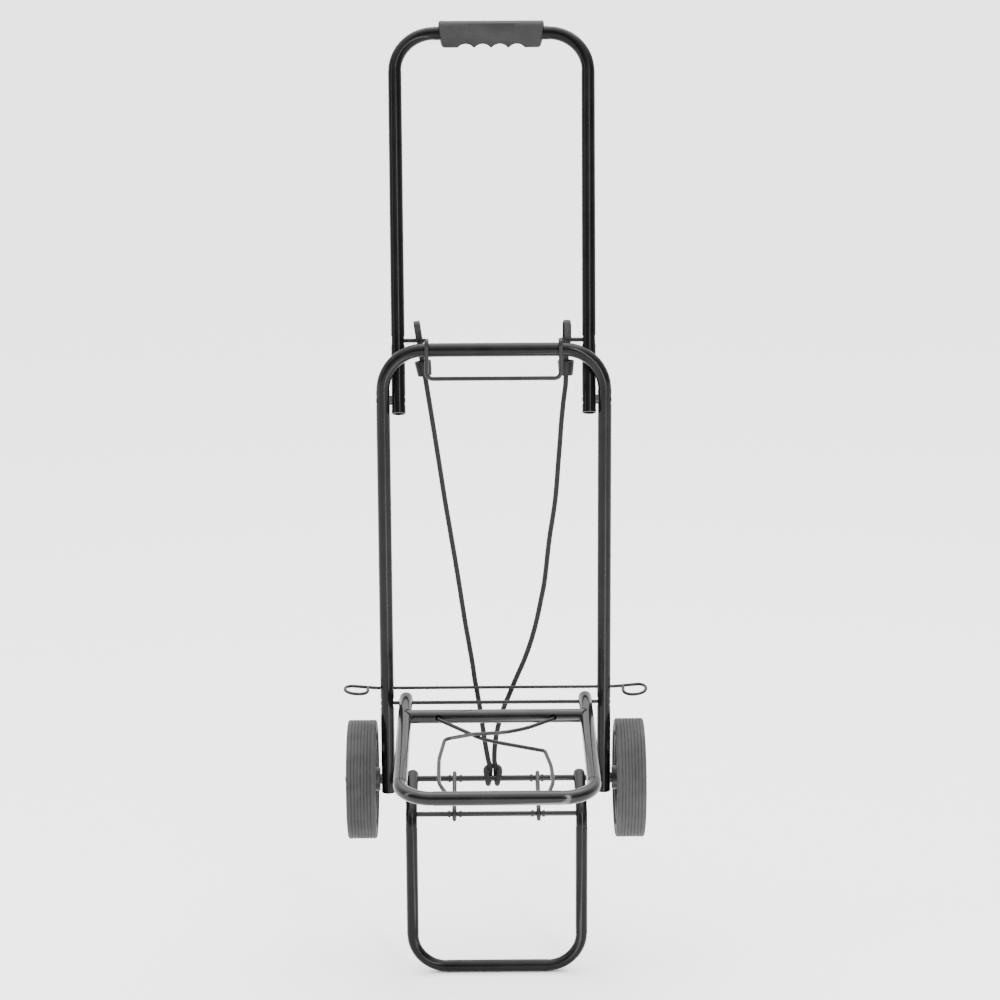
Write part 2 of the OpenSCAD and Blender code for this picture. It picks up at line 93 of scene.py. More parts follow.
class Bench:
    """One mesh under work, with edit-mode steps on what is picked by place."""

    def __init__(self, name: str) -> None:
        """Takes up the primitive that was added last.

        Args:
            name: The name it gets.
        """
        self.obj: bpy.types.Object = bpy.context.object
        self.obj.name = name
        self.obj.data.name = name

    @staticmethod
    def clear() -> None:
        """Leaves edit mode and deselects everything."""
        if bpy.context.object is not None and bpy.context.object.mode != "OBJECT":
            bpy.ops.object.mode_set(mode="OBJECT")
        bpy.ops.object.select_all(action="DESELECT")

    @classmethod
    def cylinder(cls, name: str, r: float, depth: float, sides: int, caps: bool = True) -> "Bench":
        """Adds a cylinder round the origin, in metres, with or without its ends.

        Args:
            name: The name it gets.
            r: The radius in metres.
            depth: The height along Z.
            sides: How many facets go round.
            caps: Whether the ends are closed.

        Returns:
            The bench, for the next step.
        """
        cls.clear()
        bpy.ops.mesh.primitive_cylinder_add(
            vertices=sides, radius=r, depth=depth, end_fill_type="NGON" if caps else "NOTHING"
        )
        return cls(name)

    @classmethod
    def cone(cls, name: str, low: float, high: float, depth: float, sides: int) -> "Bench":
        """Adds a cone frustum round the origin with those radii at its bottom and top.

        Args:
            name: The name it gets.
            low: The lower radius.
            high: The upper radius.
            depth: The height along Z.
            sides: How many facets go round.

        Returns:
            The bench, for the next step.
        """
        cls.clear()
        bpy.ops.mesh.primitive_cone_add(vertices=sides, radius1=low, radius2=high, depth=depth)
        return cls(name)

    @classmethod
    def block(cls, name: str, size: Point, centre: Point = (0.0, 0.0, 0.0)) -> "Bench":
        """Adds a block of that size in metres.

        Args:
            name: The name it gets.
            size: Its size along X, Y and Z.
            centre: Where its middle is.

        Returns:
            The bench, for the next step.
        """
        cls.clear()
        bpy.ops.mesh.primitive_cube_add(size=1, location=centre, scale=size)
        bpy.ops.object.transform_apply(location=True, rotation=True, scale=True)
        return cls(name)

    @classmethod
    def sheet(cls, name: str, width: float, height: float) -> "Bench":
        """Adds a flat rectangle in the XY plane.

        Args:
            name: The name it gets.
            width: The width in metres.
            height: The height in metres.

        Returns:
            The bench, for the next step.
        """
        cls.clear()
        bpy.ops.mesh.primitive_plane_add(size=1)
        bpy.context.object.scale = (width, height, 1)
        bpy.ops.object.transform_apply(location=True, rotation=True, scale=True)
        return cls(name)

    def edit(self, part: Part = Part.VERT) -> "Bench":
        """Enters edit mode with nothing picked.

        Args:
            part: What can be picked.

        Returns:
            The bench, for the next step.
        """
        self.clear()
        self.obj.select_set(True)
        bpy.context.view_layer.objects.active = self.obj
        bpy.ops.object.mode_set(mode="EDIT")
        bpy.ops.mesh.select_mode(type=part.value)
        bpy.ops.mesh.select_all(action="DESELECT")
        return self

    def pick(self, test: Pick, part: Part = Part.VERT) -> int:
        """Selects the vertices, edges or faces that pass a test and nothing else.

        Args:
            test: Takes an element's middle and its normal.
            part: The kind of element.

        Returns:
            How many were selected.
        """
        bpy.ops.mesh.select_mode(type=part.value)
        bpy.ops.mesh.select_all(action="DESELECT")
        mesh = bmesh.from_edit_mesh(self.obj.data)
        mesh.normal_update()
        count = 0
        if part is Part.VERT:
            found = [(v, v.co, v.normal) for v in mesh.verts]
        elif part is Part.EDGE:
            found = [
                (e, (e.verts[0].co + e.verts[1].co) / 2, e.verts[0].co - e.verts[1].co) for e in mesh.edges
            ]
        else:
            found = [(f, f.calc_center_median(), f.normal) for f in mesh.faces]
        for item, middle, normal in found:
            if test(middle, normal):
                item.select_set(True)
                count += 1
        mesh.select_flush_mode()
        bmesh.update_edit_mesh(self.obj.data)
        return count

    def move(self, x: float = 0.0, y: float = 0.0, z: float = 0.0) -> "Bench":
        """Moves what is picked."""
        bpy.ops.transform.translate(value=(x, y, z))
        return self

    def grow(self, x: float, y: float, z: float) -> "Bench":
        """Scales what is picked about its own middle."""
        bpy.ops.transform.resize(value=(x, y, z))
        return self

    def extrude(self, x: float = 0.0, y: float = 0.0, z: float = 0.0) -> "Bench":
        """Extrudes what is picked and moves it."""
        bpy.ops.mesh.extrude_region_move(TRANSFORM_OT_translate={"value": (x, y, z)})
        return self

    def slice(self, where: Point, normal: Point) -> "Bench":
        """Cuts a line of edges across the whole piece.

        Args:
            where: A point of the cut.
            normal: The way it faces.

        Returns:
            The bench, for the next step.
        """
        bpy.ops.mesh.select_all(action="SELECT")
        bpy.ops.mesh.bisect(plane_co=where, plane_no=normal)
        return self

    def mend(self) -> "Bench":
        """Merges doubles, points the faces outwards and leaves edit mode.

        Returns:
            The bench, for the next step.
        """
        bpy.ops.mesh.select_all(action="SELECT")
        bpy.ops.mesh.remove_doubles(threshold=1e-6)
        bpy.ops.mesh.normals_make_consistent(inside=False)
        bpy.ops.object.mode_set(mode="OBJECT")
        return self

    def modify(self, kind: str, **settings: object) -> "Bench":
        """Adds one modifier and applies it.

        Args:
            kind: Which kind to add.
            settings: What to set on it.

        Returns:
            The bench, for the next step.
        """
        self.clear()
        self.obj.select_set(True)
        bpy.context.view_layer.objects.active = self.obj
        modifier = self.obj.modifiers.new(kind.lower(), kind)
        for key, value in settings.items():
            setattr(modifier, key, value)
        bpy.ops.object.modifier_apply(modifier=modifier.name)
        return self

    def soften(self, width: float, segments: int = 2, angle: float = 35.0) -> "Bench":
        """Rounds every edge that is sharper than an angle, in metres and degrees.

        Args:
            width: The width of the rounding.
            segments: How many facets each rounding has.
            angle: The angle in degrees.

        Returns:
            The bench, for the next step.
        """
        return self.modify(
            "BEVEL", width=width, segments=segments, limit_method="ANGLE",
            angle_limit=math.radians(angle), harden_normals=False,
        )

    def join(self, *others: "Bench") -> "Bench":
        """Takes other pieces' meshes into this one.

        Args:
            others: The pieces to take in.

        Returns:
            The bench, for the next step.
        """
        self.clear()
        for other in others:
            other.obj.select_set(True)
        self.obj.select_set(True)
        bpy.context.view_layer.objects.active = self.obj
        bpy.ops.object.join()
        return self

    def copy(self, name: str) -> "Bench":
        """Copies the piece with a mesh of its own.

        Args:
            name: The name it gets.

        Returns:
            The bench, for the next step.
        """
        self.clear()
        self.obj.select_set(True)
        bpy.context.view_layer.objects.active = self.obj
        bpy.ops.object.duplicate(linked=False)
        return Bench(name)

    def place(self, matrix: Matrix, angle: float = 40.0) -> bpy.types.Object:
        """Puts the mesh in its place, leaves the object at the origin and smooths it.

        Args:
            matrix: From the piece's own drawing to the shared frame.
            angle: Edges sharper than this many degrees stay crisp.

        Returns:
            The finished object.
        """
        self.clear()
        self.obj.matrix_world = matrix
        self.obj.select_set(True)
        bpy.context.view_layer.objects.active = self.obj
        bpy.ops.object.transform_apply(location=True, rotation=True, scale=True)
        if matrix.determinant() < 0:
            self.edit().mend()
        bpy.ops.object.shade_smooth_by_angle(angle=math.radians(angle))
        return self.obj


def ring(name: str, outer: float, inner: float, width: float, sides: int) -> Bench:
    """Makes a plain ring round Z, closed on all four walls.

    Args:
        name: The piece's name.
        outer: Its outer radius in metres.
        inner: Its bore's radius.
        width: Its width along Z.
        sides: How many facets go round.

    Returns:
        The ring, out of edit mode.
    """
    bench = Bench.cylinder(name, outer, width, sides, caps=False).edit()
    for end in (-1, 1):
        bench.pick(lambda p, n: p.z * end > width / 2 - 1e-6, Part.EDGE)
        bench.extrude().grow(inner / outer, inner / outer, 1)
    near = (inner + outer) / 2 * math.cos(math.pi / sides)
    bench.pick(lambda p, n: math.hypot(p.x, p.y) < near and abs(abs(p.z) - width / 2) < 1e-6, Part.EDGE)
    mesh = bmesh.from_edit_mesh(bench.obj.data)
    for edge in mesh.edges:
        edge.select_set(edge.select and edge.is_boundary)
    bmesh.update_edit_mesh(bench.obj.data)
    bpy.ops.mesh.bridge_edge_loops()
    return bench.mend()


def sweep(name: str, path: Sequence[Vector], r: float, sides: int, closed: bool = False) -> Bench:
    """Makes a round cord along a line of points, with a UV map round and along it.

    Args:
        name: The piece's name.
        path: Points in the shared frame, in metres.
        r: The cord's radius.
        sides: How many facets go round.
        closed: Whether the last point joins the first.

    Returns:
        The cord's mesh, with round ends if it is open.
    """
    points = [Vector(p) for p in path]
    count = len(points)
    ways = []
    for i in range(count):
        before = points[i - 1] if closed or i else points[0]
        after = points[(i + 1) % count] if closed or i < count - 1 else points[-1]
        ways.append((after - before).normalized())
    side = ways[0].orthogonal().normalized()
    rows: list[tuple[Vector, Vector, Vector, float]] = []
    for i in range(count):
        side = (side - ways[i] * side.dot(ways[i])).normalized()
        rows.append((points[i], side.copy(), ways[i].cross(side), r))
    if not closed:
        for tip, inner in ((0, -1), (-1, 1)):
            p, s, u, _ = rows[tip]
            way = ways[tip] * inner
            caps = [(p + way * r * k, s, u, r * math.sqrt(max(0.0, 1 - k * k))) for k in (0.5, 0.85, 0.98)]
            rows = list(reversed(caps)) + rows if tip == 0 else rows + caps
    verts = [
        p + (s * math.cos(TAU * k / sides) + u * math.sin(TAU * k / sides)) * radius
        for p, s, u, radius in rows for k in range(sides)
    ]
    total = len(rows)
    spans = total if closed else total - 1
    faces = [
        (i * sides + k, i * sides + (k + 1) % sides,
         (i + 1) % total * sides + (k + 1) % sides, (i + 1) % total * sides + k)
        for i in range(spans) for k in range(sides)
    ]
    if not closed:
        faces.append(tuple(range(sides - 1, -1, -1)))
        faces.append(tuple((total - 1) * sides + k for k in range(sides)))
    mesh = bpy.data.meshes.new(name)
    mesh.from_pydata(verts, [], faces)
    along = [0.0]
    for i in range(1, total + 1):
        along.append(along[-1] + (rows[i % total][0] - rows[i - 1][0]).length)
    uv = mesh.uv_layers.new(name="UVMap")
    for face in mesh.polygons:
        first = face.index // sides
        for corner, loop in enumerate(face.loop_indices):
            if len(face.vertices) > 4:
                uv.data[loop].uv = (corner / sides, along[0 if face.index == len(faces) - 2 else total - 1])
                continue
            column = face.index % sides + (1 if corner in (1, 2) else 0)
            uv.data[loop].uv = (column / sides, along[first + (1 if corner in (2, 3) else 0)])
    obj = bpy.data.objects.new(name, mesh)
    bpy.context.scene.collection.objects.link(obj)
    Bench.clear()
    obj.select_set(True)
    bpy.context.view_layer.objects.active = obj
    return Bench(name)


def through(points: Sequence[Vector], steps: int) -> list[Vector]:
    """Fills in a smooth curve through points, with that many steps between each two.

    Args:
        points: The points to pass through.
        steps: How many steps to make between two points.

    Returns:
        The points of the curve.
    """
    curve: list[Vector] = []
    last = len(points) - 1
    for i in range(last):
        a, b, c, d = points[max(i - 1, 0)], points[i], points[i + 1], points[min(i + 2, last)]
        for k in range(steps):
            t = k / steps
            curve.append(
                0.5 * (2 * b + (c - a) * t + (2 * a - 5 * b + 4 * c - d) * t * t
                       + (3 * b - a - 3 * c + d) * t * t * t)
            )
    return curve + [points[last].copy()]


# ---------------------------------------------------------------- finishes


class Recipe:
    """A material under work, with short calls for the nodes that the finishes share."""

    def __init__(self, name: str, **constants: object) -> None:
        """Starts a Principled material with constants on the shader's own sockets.

        Args:
            name: The name it gets.
            constants: Values for the shader's sockets.
        """
        self.material = bpy.data.materials.new(name)
        self.material.use_nodes = True
        self.nodes = self.material.node_tree.nodes
        self.links = self.material.node_tree.links
        self.shader = self.nodes["Principled BSDF"]
        for key, value in constants.items():
            self.shader.inputs[key].default_value = value
        self.place = self.nodes.new("ShaderNodeTexCoord").outputs["Object"]

    def wire(self, source: bpy.types.NodeSocket, target: bpy.types.NodeSocket) -> None:
        """Joins two sockets."""
        self.links.new(source, target)

    def noise(self, scale: float, detail: float = 3.0, rough: float = 0.5,
              where: bpy.types.NodeSocket | None = None) -> bpy.types.NodeSocket:
        """Adds noise of a scale per metre and returns its factor.

        Args:
            scale: How many cells to the metre.
            detail: How many octaves.
            rough: The roughness to use.
            where: The coordinates, or none for the object's own.

        Returns:
            The node's output.
        """
        node = self.nodes.new("ShaderNodeTexNoise")
        node.inputs["Scale"].default_value = scale
        node.inputs["Detail"].default_value = detail
        node.inputs["Roughness"].default_value = rough
        self.wire(where or self.place, node.inputs["Vector"])
        return node.outputs["Fac"]

    def stretched(self, x: float, y: float, z: float) -> bpy.types.NodeSocket:
        """Returns Object coordinates scaled along each axis.

        Args:
            x: Scale along X.
            y: Scale along Y.
            z: Scale along Z.

        Returns:
            The node's output.
        """
        node = self.nodes.new("ShaderNodeMapping")
        node.inputs["Scale"].default_value = (x, y, z)
        self.wire(self.place, node.inputs["Vector"])
        return node.outputs["Vector"]

    def cells(self, scale: float) -> bpy.types.NodeSocket:
        """Adds a cell pattern and returns its distance.

        Args:
            scale: How many cells to the metre.

        Returns:
            The node's output.
        """
        node = self.nodes.new("ShaderNodeTexVoronoi")
        node.inputs["Scale"].default_value = scale
        self.wire(self.place, node.inputs["Vector"])
        return node.outputs["Distance"]

    def spread(self, source: bpy.types.NodeSocket, low: float, high: float,
               to_low: float, to_high: float) -> bpy.types.NodeSocket:
        """Maps one range of a value onto another, clamped.

        Args:
            source: The value to map.
            low: The lowest value to expect.
            high: The highest value to expect.
            to_low: What low becomes.
            to_high: What high becomes.

        Returns:
            The node's output.
        """
        node = self.nodes.new("ShaderNodeMapRange")
        values = {"From Min": low, "From Max": high, "To Min": to_low, "To Max": to_high}
        for key, value in values.items():
            node.inputs[key].default_value = value
        self.wire(source, node.inputs["Value"])
        return node.outputs["Result"]

    def sums(self, kind: str, a: bpy.types.NodeSocket,
             b: "bpy.types.NodeSocket | float") -> bpy.types.NodeSocket:
        """Joins two values with one Math node.

        Args:
            kind: Which kind to add.
            a: The first value.
            b: The second value, or a number.

        Returns:
            The node's output.
        """
        node = self.nodes.new("ShaderNodeMath")
        node.operation = kind
        self.wire(a, node.inputs[0])
        if isinstance(b, (int, float)):
            node.inputs[1].default_value = b
        else:
            self.wire(b, node.inputs[1])
        return node.outputs["Value"]

    def tint(self, factor: bpy.types.NodeSocket, dark: Point, light: Point) -> bpy.types.NodeSocket:
        """Mixes two colours by a value.

        Args:
            factor: The value that mixes them.
            dark: The colour at 0.
            light: The colour at 1.

        Returns:
            The node's output.
        """
        node = self.nodes.new("ShaderNodeMix")
        node.data_type = "RGBA"
        node.inputs["A"].default_value = (*dark, 1)
        node.inputs["B"].default_value = (*light, 1)
        sockets = {s.identifier: s for s in node.inputs}
        sockets["A_Color"].default_value = (*dark, 1)
        sockets["B_Color"].default_value = (*light, 1)
        self.wire(factor, sockets["Factor_Float"])
        return next(s for s in node.outputs if s.identifier == "Result_Color")

    def bump(self, height: bpy.types.NodeSocket, distance: float, strength: float = 1.0,
             under: bpy.types.NodeSocket | None = None) -> bpy.types.NodeSocket:
        """Turns a height into a normal, over another bump if there is one.

        Args:
            height: The height as a value from 0 to 1.
            distance: How far the height may stand out, in metres.
            strength: How strong it is.
            under: A bump below this one.

        Returns:
            The node's output.
        """
        node = self.nodes.new("ShaderNodeBump")
        node.inputs["Strength"].default_value = strength
        node.inputs["Distance"].default_value = distance
        self.wire(height, node.inputs["Height"])
        if under is not None:
            self.wire(under, node.inputs["Normal"])
        return node.outputs["Normal"]

    def finish(self, colour: bpy.types.NodeSocket, rough: bpy.types.NodeSocket,
               normal: bpy.types.NodeSocket) -> bpy.types.Material:
        """Joins colour, roughness and normal to the shader and returns the material.

        Args:
            colour: The base colour.
            rough: The roughness to use.
            normal: The way it faces.

        Returns:
            The material.
        """
        self.wire(colour, self.shader.inputs["Base Color"])
        self.wire(rough, self.shader.inputs["Roughness"])
        self.wire(normal, self.shader.inputs["Normal"])
        return self.material


@dataclass(frozen=True)
class GlossCoat:
    """Baked black enamel on tube or wire: smooth, with orange peel and light rubs."""

    dark: float = 0.0040
    light: float = 0.0075
    rough: float = 0.13
    worn: float = 0.27
    peel: float = 0.00005
    level: float = 0.2

    def build(self, name: str) -> bpy.types.Material:
        """Makes the material.

        Args:
            name: The name it gets.

        Returns:
            The material.
        """
        made = Recipe(name, **{"Specular IOR Level": self.level})
        cloud = made.noise(26, 4, 0.6)
        colour = made.tint(made.spread(cloud, 0.35, 0.7, 0, 1), (self.dark,) * 3,
                           (self.light, self.light, self.light * 1.04))
        rubs = made.noise(420, 5, 0.7, made.stretched(1, 1, 0.16))
        rub = made.spread(rubs, 0.56, 0.74, 0, 1)
        rough = made.sums("ADD", made.spread(cloud, 0.3, 0.75, self.rough, (self.rough + self.worn) / 2),
                          made.sums("MULTIPLY", rub, (self.worn - self.rough) * 0.6))
        peel = made.bump(made.noise(310, 2), self.peel, 0.6)
        fine = made.bump(made.noise(1500, 2), self.peel * 0.2, 0.5, peel)
        return made.finish(colour, rough, fine)


@dataclass(frozen=True)
class MouldedPlastic:
    """Injection-moulded plastic with a fine spark-eroded grain and handling marks."""

    dark: Point = (0.05, 0.05, 0.052)
    light: Point = (0.065, 0.065, 0.067)
    rough: float = 0.42
    grain: float = 0.00005
    scale: float = 1600.0
    level: float = 0.45

    def build(self, name: str) -> bpy.types.Material:
        """Makes the material.

        Args:
            name: The name it gets.

        Returns:
            The material.
        """
        made = Recipe(name, **{"Specular IOR Level": self.level})
        cloud = made.noise(38, 5, 0.62)
        speck = made.noise(self.scale * 0.7, 2)
        shade = made.sums("ADD", made.sums("MULTIPLY", cloud, 0.75), made.sums("MULTIPLY", speck, 0.25))
        colour = made.tint(made.spread(shade, 0.36, 0.66, 0, 1), self.dark, self.light)
        rubs = made.spread(made.noise(130, 6, 0.75), 0.55, 0.8, 0, 0.12)
        rough = made.sums("ADD", made.spread(cloud, 0.3, 0.7, self.rough - 0.05, self.rough + 0.08), rubs)
        coarse = made.bump(made.noise(240, 3), self.grain * 1.4, 0.5)
        fine = made.bump(made.cells(self.scale), self.grain, 0.8, coarse)
        return made.finish(colour, rough, fine)


@dataclass(frozen=True)
class SolidRubber:
    """Solid tyre rubber, greyed by use on its ribs and finely pitted."""

    dark: Point = (0.023, 0.023, 0.0235)
    light: Point = (0.045, 0.0445, 0.044)
    rough: float = 0.62

    def build(self, name: str) -> bpy.types.Material:
        """Makes the material.

        Args:
            name: The name it gets.

        Returns:
            The material.
        """
        made = Recipe(name, **{"Specular IOR Level": 0.16})
        cloud = made.noise(45, 6, 0.65)
        drag = made.noise(260, 4, 0.6, made.stretched(2.4, 0.5, 0.5))
        shade = made.sums("ADD", made.sums("MULTIPLY", cloud, 0.6), made.sums("MULTIPLY", drag, 0.4))
        colour = made.tint(made.spread(shade, 0.34, 0.68, 0, 1), self.dark, self.light)
        rough = made.spread(drag, 0.3, 0.7, self.rough - 0.08, self.rough + 0.14)
        coarse = made.bump(made.noise(330, 4, 0.6), 0.00018, 0.6)
        fine = made.bump(made.cells(1300), 0.00008, 0.7, coarse)
        return made.finish(colour, rough, fine)


@dataclass(frozen=True)
class PlatedSteel:
    """Blackened rivets and washers with turned rings and a little wear."""

    dark: Point = (0.012, 0.012, 0.0125)
    light: Point = (0.032, 0.0315, 0.031)
    rough: float = 0.28

    def build(self, name: str) -> bpy.types.Material:
        """Makes the material.

        Args:
            name: The name it gets.

        Returns:
            The material.
        """
        made = Recipe(name, **{"Metallic": 0.55, "Specular IOR Level": 0.5})
        cloud = made.noise(160, 5, 0.7)
        colour = made.tint(made.spread(cloud, 0.42, 0.7, 0, 1), self.dark, self.light)
        rough = made.spread(made.noise(90, 4), 0.3, 0.7, self.rough, self.rough + 0.16)
        fine = made.bump(made.noise(900, 3), 0.00004, 0.6)
        return made.finish(colour, rough, fine)


@dataclass(frozen=True)
class BraidedSleeve:
    """Elastic cord in a woven sleeve; the weave follows the cord's own UV map, and its colour carries painted
    shade in the weave's hollows.
    """

    dark: Point = (0.004, 0.004, 0.0045)
    light: Point = (0.018, 0.018, 0.0185)
    strands: int = 8
    per_metre: float = 290.0
    rough: float = 0.62

    def build(self, name: str) -> bpy.types.Material:
        """Makes the material.

        Args:
            name: The name it gets.

        Returns:
            The material.
        """
        made = Recipe(name, **{"Specular IOR Level": 0.2, "Sheen Weight": 0.04, "Sheen Roughness": 0.5})
        uv = made.nodes.new("ShaderNodeUVMap")
        uv.uv_map = "UVMap"
        split = made.nodes.new("ShaderNodeSeparateXYZ")
        made.wire(uv.outputs["UV"], split.inputs[0])
        turn = made.sums("MULTIPLY", split.outputs["X"], TAU * self.strands)
        run = made.sums("MULTIPLY", split.outputs["Y"], TAU * self.per_metre)
        waves = []
        for kind in ("ADD", "SUBTRACT"):
            waves.append(made.sums("SINE", made.sums(kind, turn, run), 0.0))
        weave = made.sums("MULTIPLY", waves[0], waves[1])
        height = made.spread(weave, -1, 1, 0, 1)
        fibre = made.noise(2600, 3, 0.7)
        # Painted shade and light: the colour follows the weave's height, so hollows between strands are darker
        # and crowns lighter; the fibre noise adds real random tone.
        shade = made.sums("ADD", made.sums("MULTIPLY", height, 0.65), made.sums("MULTIPLY", fibre, 0.35))
        colour = made.tint(made.spread(shade, 0.2, 0.85, 0, 1), self.dark, self.light)
        rough = made.spread(fibre, 0.3, 0.7, self.rough, self.rough + 0.2)
        threads = made.bump(fibre, 0.00008, 0.6)
        normal = made.bump(height, 0.00045, 0.9, threads)
        return made.finish(colour, rough, normal)


@dataclass(frozen=True)
class PaleFloor:
    """The plain floor."""

    tone: float = 0.92

    def build(self, name: str) -> bpy.types.Material:
        """Makes the material.

        Args:
            name: The name it gets.

        Returns:
            The material.
        """
        made = Recipe(name, **{"Specular IOR Level": 0.05})
        cloud = made.noise(0.8, 2)
        colour = made.tint(cloud, (self.tone - 0.01,) * 3, (self.tone + 0.01,) * 3)
        rough = made.spread(cloud, 0, 1, 0.88, 0.96)
        normal = made.bump(made.noise(40, 2), 0.0001, 0.1)
        return made.finish(colour, rough, normal)


class Finishes:
    """Every material of the cart, one for each of the record's slots."""

    def __init__(self) -> None:
        """Builds them all."""
        self.by_slot: dict[str, bpy.types.Material] = {
            "frame_black": GlossCoat(level=0.13).build("frame enamel"),
            # Painted shade: the handle's enamel is the frame's black paint made darker, so its reflections
            # read dimmer than the lighting gives.
            "handle_black": GlossCoat(0.0025, 0.0050, rough=0.12, level=0.10).build("handle enamel"),
            "platform_black": GlossCoat(rough=0.12, worn=0.24, level=0.26).build("platform enamel"),
            "foot_black": GlossCoat(rough=0.14, level=0.12).build("foot enamel"),
            "wire_black": GlossCoat(dark=0.006, light=0.012, rough=0.22, worn=0.34, peel=0.00007)
            .build("wire enamel"),
            "rivet_dark": PlatedSteel().build("blackened rivet steel"),
            "grip_grey": MouldedPlastic(
                (0.016, 0.016, 0.0165), (0.025, 0.025, 0.0255), rough=0.46, grain=0.00006, scale=1300,
                level=0.12,
            ).build("soft grey grip"),
            "hook_grey": MouldedPlastic(
                (0.014, 0.014, 0.0145), (0.024, 0.024, 0.0245), rough=0.36, level=0.14,
            ).build("grey hook plastic"),
            "socket_grey": MouldedPlastic(
                (0.006, 0.006, 0.0065), (0.011, 0.011, 0.0115), rough=0.4, level=0.12,
            ).build("dark cup plastic"),
            "rim_black": MouldedPlastic(
                (0.005, 0.005, 0.0055), (0.010, 0.010, 0.0105), rough=0.38, grain=0.00006, level=0.25,
            ).build("black rim plastic"),
            "bush_grey": MouldedPlastic(
                (0.016, 0.016, 0.016), (0.028, 0.028, 0.0275), rough=0.4, level=0.2,
            ).build("grey bush plastic"),
            "tyre_grey": SolidRubber().build("grey tyre rubber"),
            "cord_black": BraidedSleeve().build("black braided cord"),
        }

    def dress(self, obj: bpy.types.Object, slot: str) -> None:
        """Gives a new piece its one material, picked by the record's slot.

        Args:
            obj: The piece.
            slot: The record's slot.
        """
        obj.data.materials.clear()
        obj.data.materials.append(self.by_slot[slot])

    def carry_over(self, nodes: dict[str, bpy.types.Object], slots: dict[str, str]) -> None:
        """Puts the better materials on the nodes that keep their shape.

        Args:
            nodes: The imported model's nodes by name.
            slots: The slot of each node.
        """
        for name, obj in nodes.items():
            for held in obj.material_slots:
                held.material = self.by_slot[slots[name]]
            LOG.info("node %s wears %s", name, slots[name])


# ---------------------------------------------------------------- the cart


def hand_over(obj: bpy.types.Object, body: str, *nodes: str) -> bpy.types.Object:
    """Lets a finished piece ride on a body and stand for its nodes.

    Args:
        obj: The finished piece.
        body: The body it rides on.
        nodes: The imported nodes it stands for.

    Returns:
        The piece.
    """
    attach(obj, body)
    if nodes:
        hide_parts(*nodes)
    LOG.info("piece %s rides on %s", obj.name, body)
    return obj


@dataclass
class Cord:
    """The elastic cord: two legs from the hooks' cups down to a loop knot on the axle."""

    finishes: Finishes
    diameter: float = 0.006
    sides: int = 20
    soft_from: float = 466.0
    soft_to: float = 400.0
    left: tuple[Point, ...] = (
        (-79.4, 31, 477.5), (-77.6, 31, 466), (-71.5, 29.5, 426), (-64.5, 27.5, 379), (-57.5, 25.5, 331),
        (-50, 24, 284), (-42.5, 22, 236), (-35.5, 20, 188), (-27.5, 17.5, 140), (-24.5, 16.2, 118),
        (-22, 14.8, 104), (-19, 12.5, 86), (-15.5, 8.5, 62), (-12.3, 5, 40), (-9.2, 3, 22), (-7, 3, 14),
        (-6.7, 5.5, 7),
    )
    right: tuple[Point, ...] = (
        (83.6, 31, 477.5), (83.2, 31, 466), (81, 30.5, 449), (78.6, 29.5, 426), (76.8, 28.5, 402),
        (75, 27.5, 379), (71, 25.5, 331), (64, 24, 284), (58.5, 22, 236), (54, 21, 212), (49, 20, 188),
        (42.5, 18.8, 164), (34, 17.5, 140), (23.5, 16, 116), (16, 14.5, 98), (10, 12.5, 84),
        (3, 8.5, 62), (-0.9, 5.4, 40), (-1.8, 4, 22), (-0.7, 4, 14), (-0.3, 6, 7),
    )

    def knot(self) -> bpy.types.Object:
        """Makes the loop knot: under the axle, up in front of it and round behind both legs.

        Returns:
            The piece.
        """
        route = (
            (-6.7, 5.5, 7), (-7.4, 7.0, 1), (-8.2, 5.0, -4.6), (-9.0, 0, -6.7), (-9.7, -4.8, -4.7),
            (-10.4, -6.9, 0.4), (-11.4, -5.4, 5.4), (-12.2, -1.5, 8.9), (-11.8, 3.4, 10.6),
            (-9.2, 8.2, 11.4),
            (-4, 10.4, 11.8), (1.4, 8.9, 11.4), (4.2, 4.2, 10.8), (4.7, -1.3, 8.9), (3.9, -5.4, 5.4),
            (2.7, -6.9, 0.4), (1.8, -4.8, -4.7), (1.1, 0, -6.7), (0.6, 5.0, -4.6), (0.1, 7.2, 1), (-0.3, 6, 7),
        )
        bench = sweep("cord_loop_knot", through([at(*p) for p in route], 8), self.diameter / 2, self.sides)
        bpy.ops.object.shade_smooth_by_angle(angle=math.radians(50))
        self.finishes.dress(bench.obj, "cord_black")
        return hand_over(bench.obj, "frame", "cord_knot")

    def leg(self, name: str, node: str, points: tuple[Point, ...]) -> None:
        """Args:
            name: The piece's name.
            node: The CAD node it stands for.
            points: Its route in the cart's own drawing.
        """
        path = through([at(*p) for p in points], 12)
        bench = sweep(name, path, self.diameter / 2, self.sides)
        bpy.ops.object.shade_smooth_by_angle(angle=math.radians(50))
        obj = bench.obj
        self.finishes.dress(obj, "cord_black")
        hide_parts(node)
        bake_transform(obj)

    def build(self) -> None:
        """Makes the whole cord."""
        knot = self.knot()
        self.leg("cord_leg_left", "cord_left", self.left)
        self.leg("cord_leg_right", "cord_right", self.right)


